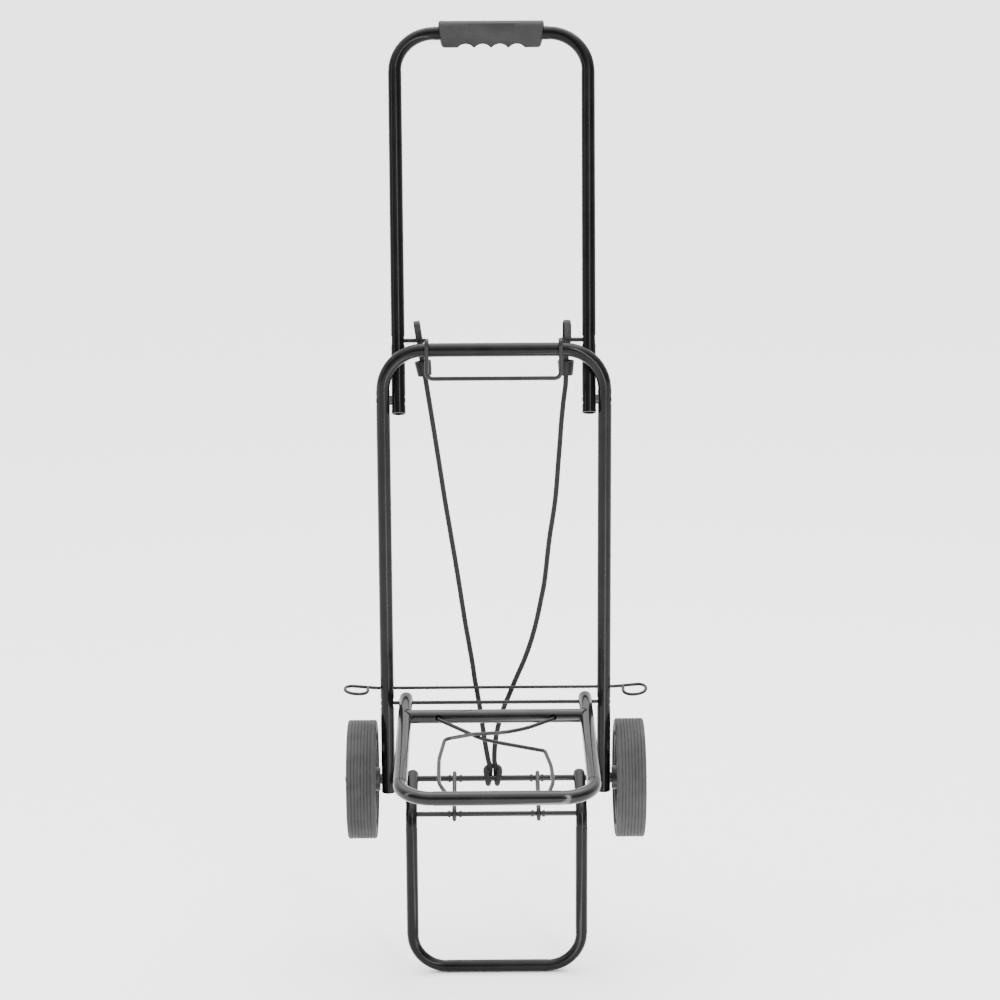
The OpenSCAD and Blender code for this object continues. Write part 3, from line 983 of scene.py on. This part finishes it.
@dataclass
class Grip:
    """The moulded sleeve on the handle's top bar, with finger scallops and a plain panel."""

    finishes: Finishes
    length: float = 124.0
    thick: float = 27.0
    up: float = 13.6
    down: float = 15.9
    bore: float = 15.9
    corner: float = 10.0
    front_corner: float = 2.5
    rear_corner: float = 7.0
    end_slope: float = 12.0
    end_round: float = 2.2
    edge: float = 0.4
    pitch: float = 20.0
    scallop: float = 4.3
    panel: tuple[float, float, float] = (54.0, 15.0, 0.7)
    panel_from_top: float = 6.5
    pivot: float = 455.0
    lean: float = 22.0
    reach: float = 439.5

    def matrix(self) -> Matrix:
        """From the handle's own drawing, in metres about the top bar, to the shared frame.

        Returns:
            The placing matrix.
        """
        lean = Matrix.Rotation(math.radians(-self.lean), 4, "X")
        return (Matrix.Translation(at(0, 0, self.pivot)) @ lean
                @ Matrix.Translation((0, 0, self.reach * MM)))

    def build(self) -> bpy.types.Object:
        """Makes the sleeve.

        Returns:
            The piece.
        """
        half, height = self.length / 2, self.up + self.down
        middle = (self.up - self.down) / 2
        bench = Bench.block("handle_grip_sleeve", (self.length * MM, self.thick * MM, height * MM),
                            (0, 0, middle * MM)).edit()
        for side in (-1, 1):
            bench.pick(lambda p, n: p.z < 0 and p.y * side > 0)
            bench.move(z=(self.down - self.under(side * self.thick / 2)) * MM)
        for above, side, rounding in (
            (True, 1, self.corner), (True, -1, self.corner),
            (False, -1, self.front_corner), (False, 1, self.rear_corner),
        ):
            self.long_edge(bench, above, side)
            bpy.ops.mesh.bevel(offset=rounding * MM, segments=8, affect="EDGES", profile=0.5)
        self.slope_ends(bench, half)
        bench.pick(lambda p, n: abs(n.x) > 0.9, Part.FACE)
        bpy.ops.mesh.region_to_loop()
        bpy.ops.mesh.bevel(offset=self.end_round * MM, segments=4, affect="EDGES", profile=0.5)
        bench.mend()
        for tool in self.tools():
            bench.modify("BOOLEAN", operation="DIFFERENCE", object=tool.obj, solver="EXACT")
            bpy.data.objects.remove(tool.obj)
        bench.edit().mend().soften(self.edge * MM, 2, 30)
        obj = bench.place(self.matrix(), 30)
        self.finishes.dress(obj, "grip_grey")
        return hand_over(obj, "handle", "handle_grip")

    def under(self, y: float) -> float:
        """How far the level underside lies below the bar's middle at a place across the leaning grip."""
        lean = math.radians(self.lean)
        return (self.down - y * math.sin(lean)) / math.cos(lean)

    def long_edge(self, bench: Bench, above: bool, side: int) -> None:
        """Picks the long edge that is above or below the bar, in front (-1) or behind (1).

        Args:
            bench: The piece under work.
            above: Whether the edge is above the bar.
            side: In front (-1) or behind (1).
        """
        bench.pick(lambda p, n: False, Part.EDGE)
        mesh = bmesh.from_edit_mesh(bench.obj.data)
        z = self.up if above else -self.under(side * self.thick / 2)
        place = Vector((0, side * self.thick / 2, z)) * MM
        for edge in mesh.edges:
            middle = (edge.verts[0].co + edge.verts[1].co) / 2
            edge.select_set((middle - place).length < 1e-6)
        bmesh.update_edit_mesh(bench.obj.data)

    def tools(self) -> list[Bench]:
        """Makes the cutters for the bore, the plain panel and the four finger scallops.

        Returns:
            The cutters.
        """
        bore = Bench.cylinder("bore_tool", self.bore / 2 * MM, (self.length + 20) * MM, 64)
        bore.obj.matrix_world = Matrix.Rotation(math.pi / 2, 4, "Y")
        panel_l, panel_h, panel_deep = self.panel
        top = self.up - self.panel_from_top
        panel = Bench.block("panel_tool", (panel_l * MM, 2 * panel_deep * MM, panel_h * MM),
                            (0, -self.thick / 2 * MM, (top - panel_h / 2) * MM))
        cutters = [bore, panel]
        half = (self.pitch - 1.4) / 2
        radius = (half * half + self.scallop ** 2) / (2 * self.scallop)
        for i in (-1.5, -0.5, 0.5, 1.5):
            cutter = Bench.cylinder("scallop_tool", radius * MM, 3 * self.thick * MM, 96)
            level = Matrix.Rotation(math.radians(self.lean), 4, "X")
            turn = Matrix.Rotation(math.pi / 2, 4, "X")
            centre = Vector((i * self.pitch, 0, self.scallop - self.down - radius)) * MM
            cutter.obj.matrix_world = level @ Matrix.Translation(centre) @ turn
            cutters.append(cutter)
        return cutters

    def slope_ends(self, bench: Bench, half: float) -> None:
        """Slants both ends inwards below the top.

        Args:
            bench: The piece under work.
            half: Half the length in millimetres.
        """
        for end in (-1, 1):
            levels = sorted({round(v.co.z / MM, 3) for v in bmesh.from_edit_mesh(bench.obj.data).verts
                             if abs(v.co.x * end / MM - half) < 0.01})
            for z in levels:
                inward = max(0.0, (2 - z) * math.tan(math.radians(self.end_slope)))
                if inward < 1e-6:
                    continue
                bench.pick(lambda p, n: abs(p.x * end / MM - half) < 0.01 and abs(p.z / MM - z) < 0.002)
                bench.move(x=-end * inward * MM)


class Side(Enum):
    """Which side of the cart a paired piece is on."""

    LEFT = -1
    RIGHT = 1

    @property
    def word(self) -> str:
        """The side as it stands in names."""
        return self.name.lower()


@dataclass
class Wheel:
    """A solid ribbed tyre on a moulded rim with spokes, made once and copied."""

    finishes: Finishes
    radius: float = 70.0
    width: float = 34.0
    track: float = 315.0
    rim: float = 56.0
    barrel: float = 4.5
    barrel_w: float = 30.0
    web: float = 5.0
    hub: float = 14.0
    bush: float = 12.0
    hub_in: float = 136.8
    hub_out: float = 171.5
    spokes: int = 8
    holes_at: float = 35.0
    hole_d: float = 13.0
    ribs: int = 8
    groove_w: float = 1.0
    groove_deep: float = 0.9
    shoulder: float = 2.8
    plain_edge: float = 2.0
    spoke_w: float = 3.2
    bead_steps: tuple[tuple[float, float], ...] = ((64.5, 0.0), (63.6, -0.8), (58.5, -0.8), (57.6, 0.2))
    sides: int = 128

    def place(self, side: Side) -> Matrix:
        """From the wheel's own drawing, with its outer face up, to its place."""
        turn = Matrix.Rotation(side.value * math.pi / 2, 4, "Y")
        return Matrix.Translation(at(side.value * self.track / 2, 0, 0)) @ turn

    def tyre(self) -> Bench:
        """Makes the tyre: a ring with a stepped bead, ribs round its tread and round shoulders.

        Returns:
            The bench, for the next step.
        """
        width, radius = self.width * MM, self.radius * MM
        bench = Bench.cylinder("tyre", radius, width, self.sides, caps=False).edit()
        steps = (*self.bead_steps, (self.rim, self.bead_steps[-1][1]))
        for end in (-1, 1):
            bench.pick(lambda p, n: p.z * end > width / 2 - 1e-6, Part.EDGE)
            last = self.radius
            depth = 0.0
            for r, inset in steps:
                bench.extrude(z=end * (inset - depth) * MM).grow(r / last, r / last, 1)
                last, depth = r, inset
        bench.pick(lambda p, n: math.hypot(p.x, p.y) < (self.rim + 0.4) * MM, Part.EDGE)
        self.keep_open_edges(bench)
        bpy.ops.mesh.bridge_edge_loops()
        pitch = (self.width - 2 * self.plain_edge) / self.ribs
        grooves = [-self.width / 2 + self.plain_edge + i * pitch for i in range(1, self.ribs)]
        for z in grooves:
            for off in (-self.groove_w / 2, self.groove_w / 2):
                bench.slice((0, 0, (z + off) * MM), (0, 0, 1))
        bench.pick(
            lambda p, n: math.hypot(p.x, p.y) > (self.radius - 2) * MM and abs(n.z) < 0.2
            and min(abs(p.z / MM - z) for z in grooves) < self.groove_w / 2, Part.FACE
        )
        share = (self.radius - self.groove_deep) / self.radius
        bench.extrude().grow(share, share, 1)
        bench.pick(
            lambda p, n: math.hypot(p.x, p.y) > (self.radius - 0.4) * MM and abs(p.z) > width / 2 - 1e-5,
            Part.EDGE,
        )
        bpy.ops.mesh.bevel(offset=self.shoulder * MM, segments=5, affect="EDGES", profile=0.5)
        return bench.mend().soften(0.22 * MM, 1, 50)

    @staticmethod
    def keep_open_edges(bench: Bench) -> None:
        """Leaves only the edges of open rims picked.

        Args:
            bench: The piece under work.
        """
        mesh = bmesh.from_edit_mesh(bench.obj.data)
        for edge in mesh.edges:
            edge.select_set(edge.select and edge.is_boundary)
        bmesh.update_edit_mesh(bench.obj.data)

    def wheel_rim(self) -> Bench:
        """Makes the rim: barrel, web with round holes, ribs and hub.

        Returns:
            The bench, for the next step.
        """
        barrel = ring("rim", self.rim * MM, (self.rim - self.barrel) * MM, self.barrel_w * MM, self.sides)
        barrel.soften(0.8 * MM)
        web = Bench.cylinder("web", (self.rim - 1) * MM, self.web * MM, self.sides)
        for i in range(self.spokes):
            turn = TAU * (i + 0.5) / self.spokes
            drill = Bench.cylinder("drill", self.hole_d / 2 * MM, 20 * MM, 32)
            drill.obj.location = (self.holes_at * MM * math.cos(turn), self.holes_at * MM * math.sin(turn), 0)
            web.modify("BOOLEAN", operation="DIFFERENCE", object=drill.obj, solver="EXACT")
            bpy.data.objects.remove(drill.obj)
        web.soften(0.5 * MM)
        reach = self.rim - 2 - (self.hub - 2)
        spoke = Bench.block("spoke", (reach * MM, self.spoke_w * MM, (self.barrel_w - 8) * MM),
                            ((self.hub - 2 + reach / 2) * MM, 0, 0))
        spoke.edit().pick(lambda p, n: p.x > (self.rim - 4) * MM)
        spoke.grow(1, 1, 1.16).mend().soften(0.6 * MM)
        spokes = [spoke]
        for i in range(1, self.spokes):
            more = spoke.copy(f"spoke_{i}")
            more.obj.rotation_euler.z = TAU * i / self.spokes
            spokes.append(more)
        low, high = self.track / 2 - self.hub_in, self.hub_out - self.track / 2
        hub = ring("hub", self.hub * MM, self.bush / 2 * MM, (low + high) * MM, 64)
        hub.edit().pick(lambda p, n: True)
        hub.move(z=(high - low) / 2 * MM)
        hub.mend().soften(0.8 * MM)
        return barrel.join(web, hub, *spokes)

    def build(self) -> None:
        """Makes both wheels."""
        tyre, rim = self.tyre(), self.wheel_rim()
        pairs = {
            Side.LEFT: (tyre, rim),
            Side.RIGHT: (tyre.copy("tyre_copy"), rim.copy("rim_copy")),
        }
        for side, (one_tyre, one_rim) in pairs.items():
            body = f"wheel_{side.word}"
            for bench, stem, slot in ((one_tyre, "tyre", "tyre_grey"), (one_rim, "rim", "rim_black")):
                bench.obj.name = bench.obj.data.name = f"{stem}_{side.word}"
                obj = bench.place(self.place(side), 35)
                self.finishes.dress(obj, slot)
                hand_over(obj, body, f"wheel_{stem}_{side.word}")


@dataclass
class CordHook:
    """A flat strip bent to a J over the handle's wire, and the cup that takes the cord's end."""

    finishes: Finishes
    side: Side
    x: float
    tilt: float
    yaw: float
    width: float = 7.5
    thick: float = 2.4
    bend: float = 5.5
    top: float = 543.0
    socket_top: float = 495.0
    socket_h: float = 17.0
    socket_y: float = 31.0
    big: float = 19.5
    small: float = 16.5
    middle: float = 26.6
    tip: float = 518.0
    hole_d: float = 2.2
    wall: float = 1.8
    cord_hole: float = 3.1
    floor: float = 2.4
    tip_stations: tuple[Point, ...] = (
        (6.0, 1.0, 1.0), (2.6, 1.02, 1.12), (1.0, 0.96, 1.08), (-0.4, 0.82, 0.9), (-1.3, 0.6, 0.7),
        (-1.75, 0.3, 0.5),
    )

    def place(self) -> Matrix:
        """From the hook's own drawing in metres, upright about x = 0, to the shared frame.

        Returns:
            The placing matrix.
        """
        tilt = Matrix.Rotation(math.radians(-self.tilt), 4, "Y")
        turn = Matrix.Rotation(math.radians(self.yaw), 4, "Z")
        lift = Matrix.Translation((0, self.middle * MM, -515 * MM))
        back = Matrix.Translation((0, -self.middle * MM, 0))
        return Matrix.Translation(at(self.x, 0, 515)) @ tilt @ lift @ turn @ back

    def strip(self) -> Bench:
        """Bends the strip up, over and down to its rounded tip.

        Returns:
            The bench, for the next step.
        """
        arc = (self.top - self.bend - self.thick / 2) * MM
        back, y = (self.middle + self.bend) * MM, self.middle * MM
        foot = (self.socket_top - 4) * MM
        bench = Bench.sheet("hook_strip", self.width * MM, self.thick * MM).edit()
        bench.pick(lambda p, n: True)
        bpy.ops.mesh.bevel(offset=0.7 * MM, segments=3, affect="VERTICES")
        bench.pick(lambda p, n: True)
        bench.move(y=back, z=foot)
        bench.pick(lambda p, n: True, Part.FACE)
        bpy.ops.mesh.delete(type="ONLY_FACE")
        bench.pick(lambda p, n: True, Part.EDGE)
        bench.extrude(z=arc - foot)
        bpy.ops.mesh.spin(steps=18, angle=-math.pi, center=(0, y, arc), axis=(1, 0, 0))
        if max(v.co.z for v in bmesh.from_edit_mesh(bench.obj.data).verts) < arc + 1e-4:
            bpy.ops.mesh.select_all(action="DESELECT")
            raise ValueError("the hook's bend went down instead of up")
        last = arc
        wide = deep = 1.0
        for off, w, d in self.tip_stations:
            z = self.tip * MM + off * MM
            bench.extrude(z=z - last).grow(w / wide, d / deep, 1)
            last, wide, deep = z, w, d
        bpy.ops.mesh.edge_face_add()
        bench.pick(lambda p, n: abs(p.z - foot) < 1e-6 and p.y > y, Part.EDGE)
        bpy.ops.mesh.edge_face_add()
        bench.mend()
        drill = Bench.cylinder("drill", self.hole_d / 2 * MM, 4 * MM, 24)
        drill.obj.matrix_world = (Matrix.Translation(Vector((0, self.middle - self.bend, self.tip + 3)) * MM)
                                  @ Matrix.Rotation(math.pi / 2, 4, "X"))
        bench.modify("BOOLEAN", operation="DIFFERENCE", object=drill.obj, solver="EXACT")
        bpy.data.objects.remove(drill.obj)
        return bench

    def cup(self) -> Bench:
        """Makes the tapered cup, open at the top, with a rolled lip and a hole for the cord.

        Returns:
            The bench, for the next step.
        """
        high, low = self.big / 2 * MM, self.small / 2 * MM
        height = self.socket_h * MM
        bench = Bench.cone("hook_cup", low, high, height, 48).edit()
        bench.pick(lambda p, n: n.z > 0.9, Part.FACE)
        bpy.ops.mesh.inset(thickness=self.wall * MM)
        share = (self.small / 2 - self.wall) / (self.big / 2 - self.wall)
        bench.extrude(z=-(self.socket_h - 4) * MM).grow(share, share, 1)
        bpy.ops.mesh.inset(thickness=(self.small / 2 - self.wall - self.cord_hole) * MM)
        bench.extrude(z=-self.floor * MM)
        bench.mend().soften(0.5 * MM, 3)
        bench.edit().pick(lambda p, n: True)
        bench.move(y=self.socket_y * MM, z=(self.socket_top - self.socket_h / 2) * MM)
        return bench.mend()

    def build(self) -> None:
        """Makes the hook and its cup."""
        word = self.side.word
        for bench, stem, slot, node in (
            (self.strip(), "hook_strip", "hook_grey", f"hook_{word}"),
            (self.cup(), "hook_cup", "socket_grey", f"hook_socket_{word}"),
        ):
            bench.obj.name = bench.obj.data.name = f"{stem}_{word}"
            obj = bench.place(self.place(), 45)
            self.finishes.dress(obj, slot)
            hand_over(obj, "handle", node)


@dataclass
class Welds:
    """Rippled weld beads where tubes and wires meet."""

    finishes: Finishes
    bead: float = 1.1
    side_x: float = 105.65
    cross_c: float = 42.0
    platform_h: float = 93.7
    droop: float = 6.0
    tube: float = 8.0
    platform_l: float = 268.0
    wire_y: float = 9.9
    wire_h: float = 109.0
    upright_x: float = 127.25

    def platform_matrix(self) -> Matrix:
        """From the platform's own drawing in metres to the shared frame."""
        return (Matrix.Translation(at(0, 0, self.platform_h))
                @ Matrix.Rotation(math.radians(self.droop), 4, "X"))

    def saddle(self, side: Side) -> bpy.types.Object:
        """Runs a bead round the joint of the cross tube and one side tube.

        Args:
            side: Which side it is on.

        Returns:
            The piece.
        """
        place = self.platform_matrix()
        path = []
        for k in range(72):
            angle = TAU * k / 72
            y, z = self.tube * math.cos(angle), self.tube * math.sin(angle)
            x = self.side_x - math.sqrt(max(0.0, self.tube ** 2 - z * z)) - 0.2
            ripple = 0.22 * math.sin(angle * 21)
            grown = 1 + (0.15 + ripple * 0.3) / self.tube
            path.append(place @ (Vector((side.value * (x - ripple * 0.5), -self.cross_c + y * grown,
                                         z * grown)) * MM))
        bench = sweep(f"weld_cross_{side.word}", path, self.bead * MM, 10, closed=True)
        return self.finish(bench, "platform_black", "platform")

    def dab(self, name: str, centre: Vector, along: Vector, body: str, slot: str,
            length: float = 9.0) -> None:
        """Lays a short bead with tapering ends along a line.

        Args:
            name: The piece's name.
            centre: Its middle in the shared frame.
            along: The way it runs.
            body: The body it rides on.
            slot: The slot it takes its finish from.
            length: Its length in millimetres.
        """
        bench = Bench.cylinder(name, self.bead * MM, length * MM, 14).edit()
        steps = 11
        for i in range(1, steps):
            bench.slice((0, 0, (-length / 2 + length * i / steps) * MM), (0, 0, 1))
        for i in range(steps + 1):
            z = -length / 2 + length * i / steps
            bulge = math.sqrt(max(0.0, 1 - (2 * z / length) ** 2)) * (1 + 0.16 * (-1) ** i)
            bench.pick(lambda p, n: abs(p.z / MM - z) < 0.01)
            bench.grow(max(0.25, bulge), max(0.25, bulge), 1)
        bench.mend().modify("SUBSURF", levels=1, render_levels=1)
        turn = Vector((0, 0, 1)).rotation_difference(along.normalized()).to_matrix().to_4x4()
        self.finish(bench, slot, body, Matrix.Translation(centre) @ turn)

    def finish(self, bench: Bench, slot: str, body: str,
               place: Matrix = Matrix.Identity(4)) -> bpy.types.Object:
        """Places, dresses and hands over one bead.

        Args:
            bench: The piece under work.
            slot: The record's slot.
            body: The body it rides on.
            place: Where it goes in the shared frame.

        Returns:
            The piece.
        """
        obj = bench.place(place, 60)
        self.finishes.dress(obj, slot)
        return hand_over(obj, body)

    def build(self) -> None:
        """Makes every bead."""
        for side in Side:
            self.saddle(side)
            for level, off in (("upper", 1.7), ("lower", -1.7)):
                self.dab(f"weld_wire_{side.word}_{level}",
                         at(side.value * self.upright_x, self.wire_y - 1.75, self.wire_h + off),
                         Vector((1, 0, 0)), "frame", "frame_black", 6.0)
        place = self.platform_matrix()
        inner = self.platform_l - self.tube
        for x in (-34.0, 34.0):
            for level, z in (("upper", 2.1), ("lower", -2.1)):
                word = "left" if x < 0 else "right"
                centre = place @ (Vector((x, -(inner - 0.5), z)) * MM)
                self.dab(f"weld_spring_{word}_{level}", centre, Vector((1, 0, 0)), "platform",
                         "platform_black", 12.0)


@dataclass
class Studio:
    """The camera, the soft lights, the sky and the floor."""

    eye: Point = (-14.96, -3016.46, 1001.08)
    yaw: float = 0.406
    pitch: float = 12.414
    roll: float = 0.299
    lens: float = 96.12
    sensor: float = 36.0

    def camera(self) -> None:
        """Makes the camera and the scene's use of it."""
        yaw, pitch, roll = (math.radians(a) for a in (self.yaw, self.pitch, self.roll))
        forward = Vector((math.sin(yaw) * math.cos(pitch), math.cos(yaw) * math.cos(pitch), -math.sin(pitch)))
        right = Vector((math.cos(yaw), -math.sin(yaw), 0))
        down = forward.cross(right)
        turned = math.cos(roll) * right + math.sin(roll) * down
        lower = -math.sin(roll) * right + math.cos(roll) * down
        data = bpy.data.cameras.new("main_camera")
        data.lens, data.sensor_width = self.lens, self.sensor
        data.clip_end = 200
        obj = bpy.data.objects.new("main_camera", data)
        rows = Matrix((turned, -lower, -forward)).transposed().to_4x4()
        obj.matrix_world = Matrix.Translation(at(*self.eye)) @ rows
        bpy.context.scene.collection.objects.link(obj)
        bpy.context.scene.camera = obj

    @staticmethod
    def soft_box(name: str, where: Point, target: Point, size: tuple[float, float], power: float) -> None:
        """Adds one rectangular light that faces a point.

        Args:
            name: The name it gets.
            where: Where it hangs, in metres.
            target: The point it faces.
            size: Its width and height.
            power: Its power in watts.
        """
        data = bpy.data.lights.new(name, "AREA")
        data.shape = "RECTANGLE"
        data.size, data.size_y = size
        data.energy = power
        obj = bpy.data.objects.new(name, data)
        obj.location = where
        obj.rotation_euler = (Vector(target) - Vector(where)).to_track_quat("-Z", "Y").to_euler()
        obj.visible_camera = False
        bpy.context.scene.collection.objects.link(obj)

    @staticmethod
    def floor_card(name: str, near: float, far: float, width: float, power: float) -> None:
        """Lays a light on the floor, facing up, for the low tubes to mirror.

        Args:
            name: The light's name.
            near: How far in front of the cart it starts, in metres.
            far: How far in front it ends.
            width: Its width.
            power: Its power in watts.
        """
        data = bpy.data.lights.new(name, "AREA")
        data.shape = "RECTANGLE"
        data.size, data.size_y = width, far - near
        data.energy = power
        obj = bpy.data.objects.new(name, data)
        turn = math.radians(20)
        way = Vector((math.sin(turn), -math.cos(turn), 0))
        down = Vector((0, 0, -1))
        rows = Matrix((way.cross(down), way, down)).transposed().to_4x4()
        obj.matrix_world = Matrix.Translation(way * (near + far) / 2 + Vector((0, 0, 0.004))) @ rows
        obj.visible_camera = False
        bpy.context.scene.collection.objects.link(obj)

    def sky(self) -> None:
        """Lights the room: bright behind and above, darker in front."""
        world = bpy.data.worlds.new("studio_room")
        world.use_nodes = True
        nodes, links = world.node_tree.nodes, world.node_tree.links
        back = nodes["Background"]
        where = nodes.new("ShaderNodeTexCoord").outputs["Generated"]
        split = nodes.new("ShaderNodeSeparateXYZ")
        links.new(where, split.inputs[0])
        depth = nodes.new("ShaderNodeMapRange")
        for key, value in {"From Min": -0.35, "From Max": 0.55, "To Min": 0.22, "To Max": 2.1}.items():
            depth.inputs[key].default_value = value
        depth.interpolation_type = "SMOOTHSTEP"
        links.new(split.outputs["Y"], depth.inputs["Value"])
        rise = nodes.new("ShaderNodeMapRange")
        for key, value in {"From Min": 0.5, "From Max": 0.92, "To Min": 0.0, "To Max": 4.6}.items():
            rise.inputs[key].default_value = value
        links.new(split.outputs["Z"], rise.inputs["Value"])
        total = nodes.new("ShaderNodeMath")
        total.operation = "ADD"
        links.new(depth.outputs["Result"], total.inputs[0])
        links.new(rise.outputs["Result"], total.inputs[1])
        links.new(total.outputs["Value"], back.inputs["Strength"])
        back.inputs["Color"].default_value = (1, 1, 1, 1)
        bpy.context.scene.world = world

    def build(self) -> None:
        """Makes the whole studio."""
        self.camera()
        self.sky()
        self.soft_box("key_strip", (0.95, -2.45, 1.55), (0, 0, 0.7), (0.44, 3.0), 78)
        for name, near, far, width, power in (
            ("card_near", 0.12, 0.8, 0.10, 2.2), ("card_mid", 0.8, 1.5, 0.24, 6.5),
            ("card_far", 1.5, 2.5, 0.42, 17.0),
        ):
            self.floor_card(name, near, far, width, power)
        self.soft_box("left_strip", (-2.3, -0.6, 1.3), (0, 0, 0.6), (0.4, 2.4), 20)
        self.soft_box("top_sheet", (0.2, 0.6, 3.2), (0, 0, 0.3), (2.2, 2.2), 60)
        Bench.clear()
        bpy.ops.mesh.primitive_plane_add(size=160)
        floor = bpy.context.object
        floor.name = floor.data.name = "pale_floor"
        floor.data.materials.append(PaleFloor().build("pale floor"))
        LOG.info("studio is ready")


@dataclass
class CartBuilder:
    """Builds the cart's pieces in order."""

    finishes: Finishes

    def slots(self) -> dict[str, str]:
        """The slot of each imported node, from the record."""
        found = {part["node"]: part["material_slot"] for part in frame["record"]["subparts"]}
        return found

    def build(self) -> None:
        """Makes every piece."""
        Cord(self.finishes).build()
        Grip(self.finishes).build()
        Wheel(self.finishes).build()
        CordHook(self.finishes, Side.LEFT, -84.6, 8, 0).build()
        CordHook(self.finishes, Side.RIGHT, 84.6, 0, 13).build()
        Welds(self.finishes).build()
        self.finishes.carry_over(frame["nodes"], self.slots())


def main() -> None:
    """Builds the studio and the cart."""
    logging.basicConfig(level=logging.INFO, format="%(name)s: %(message)s")
    Studio().build()
    CartBuilder(Finishes()).build()


if __name__ == "__main__":
    main()
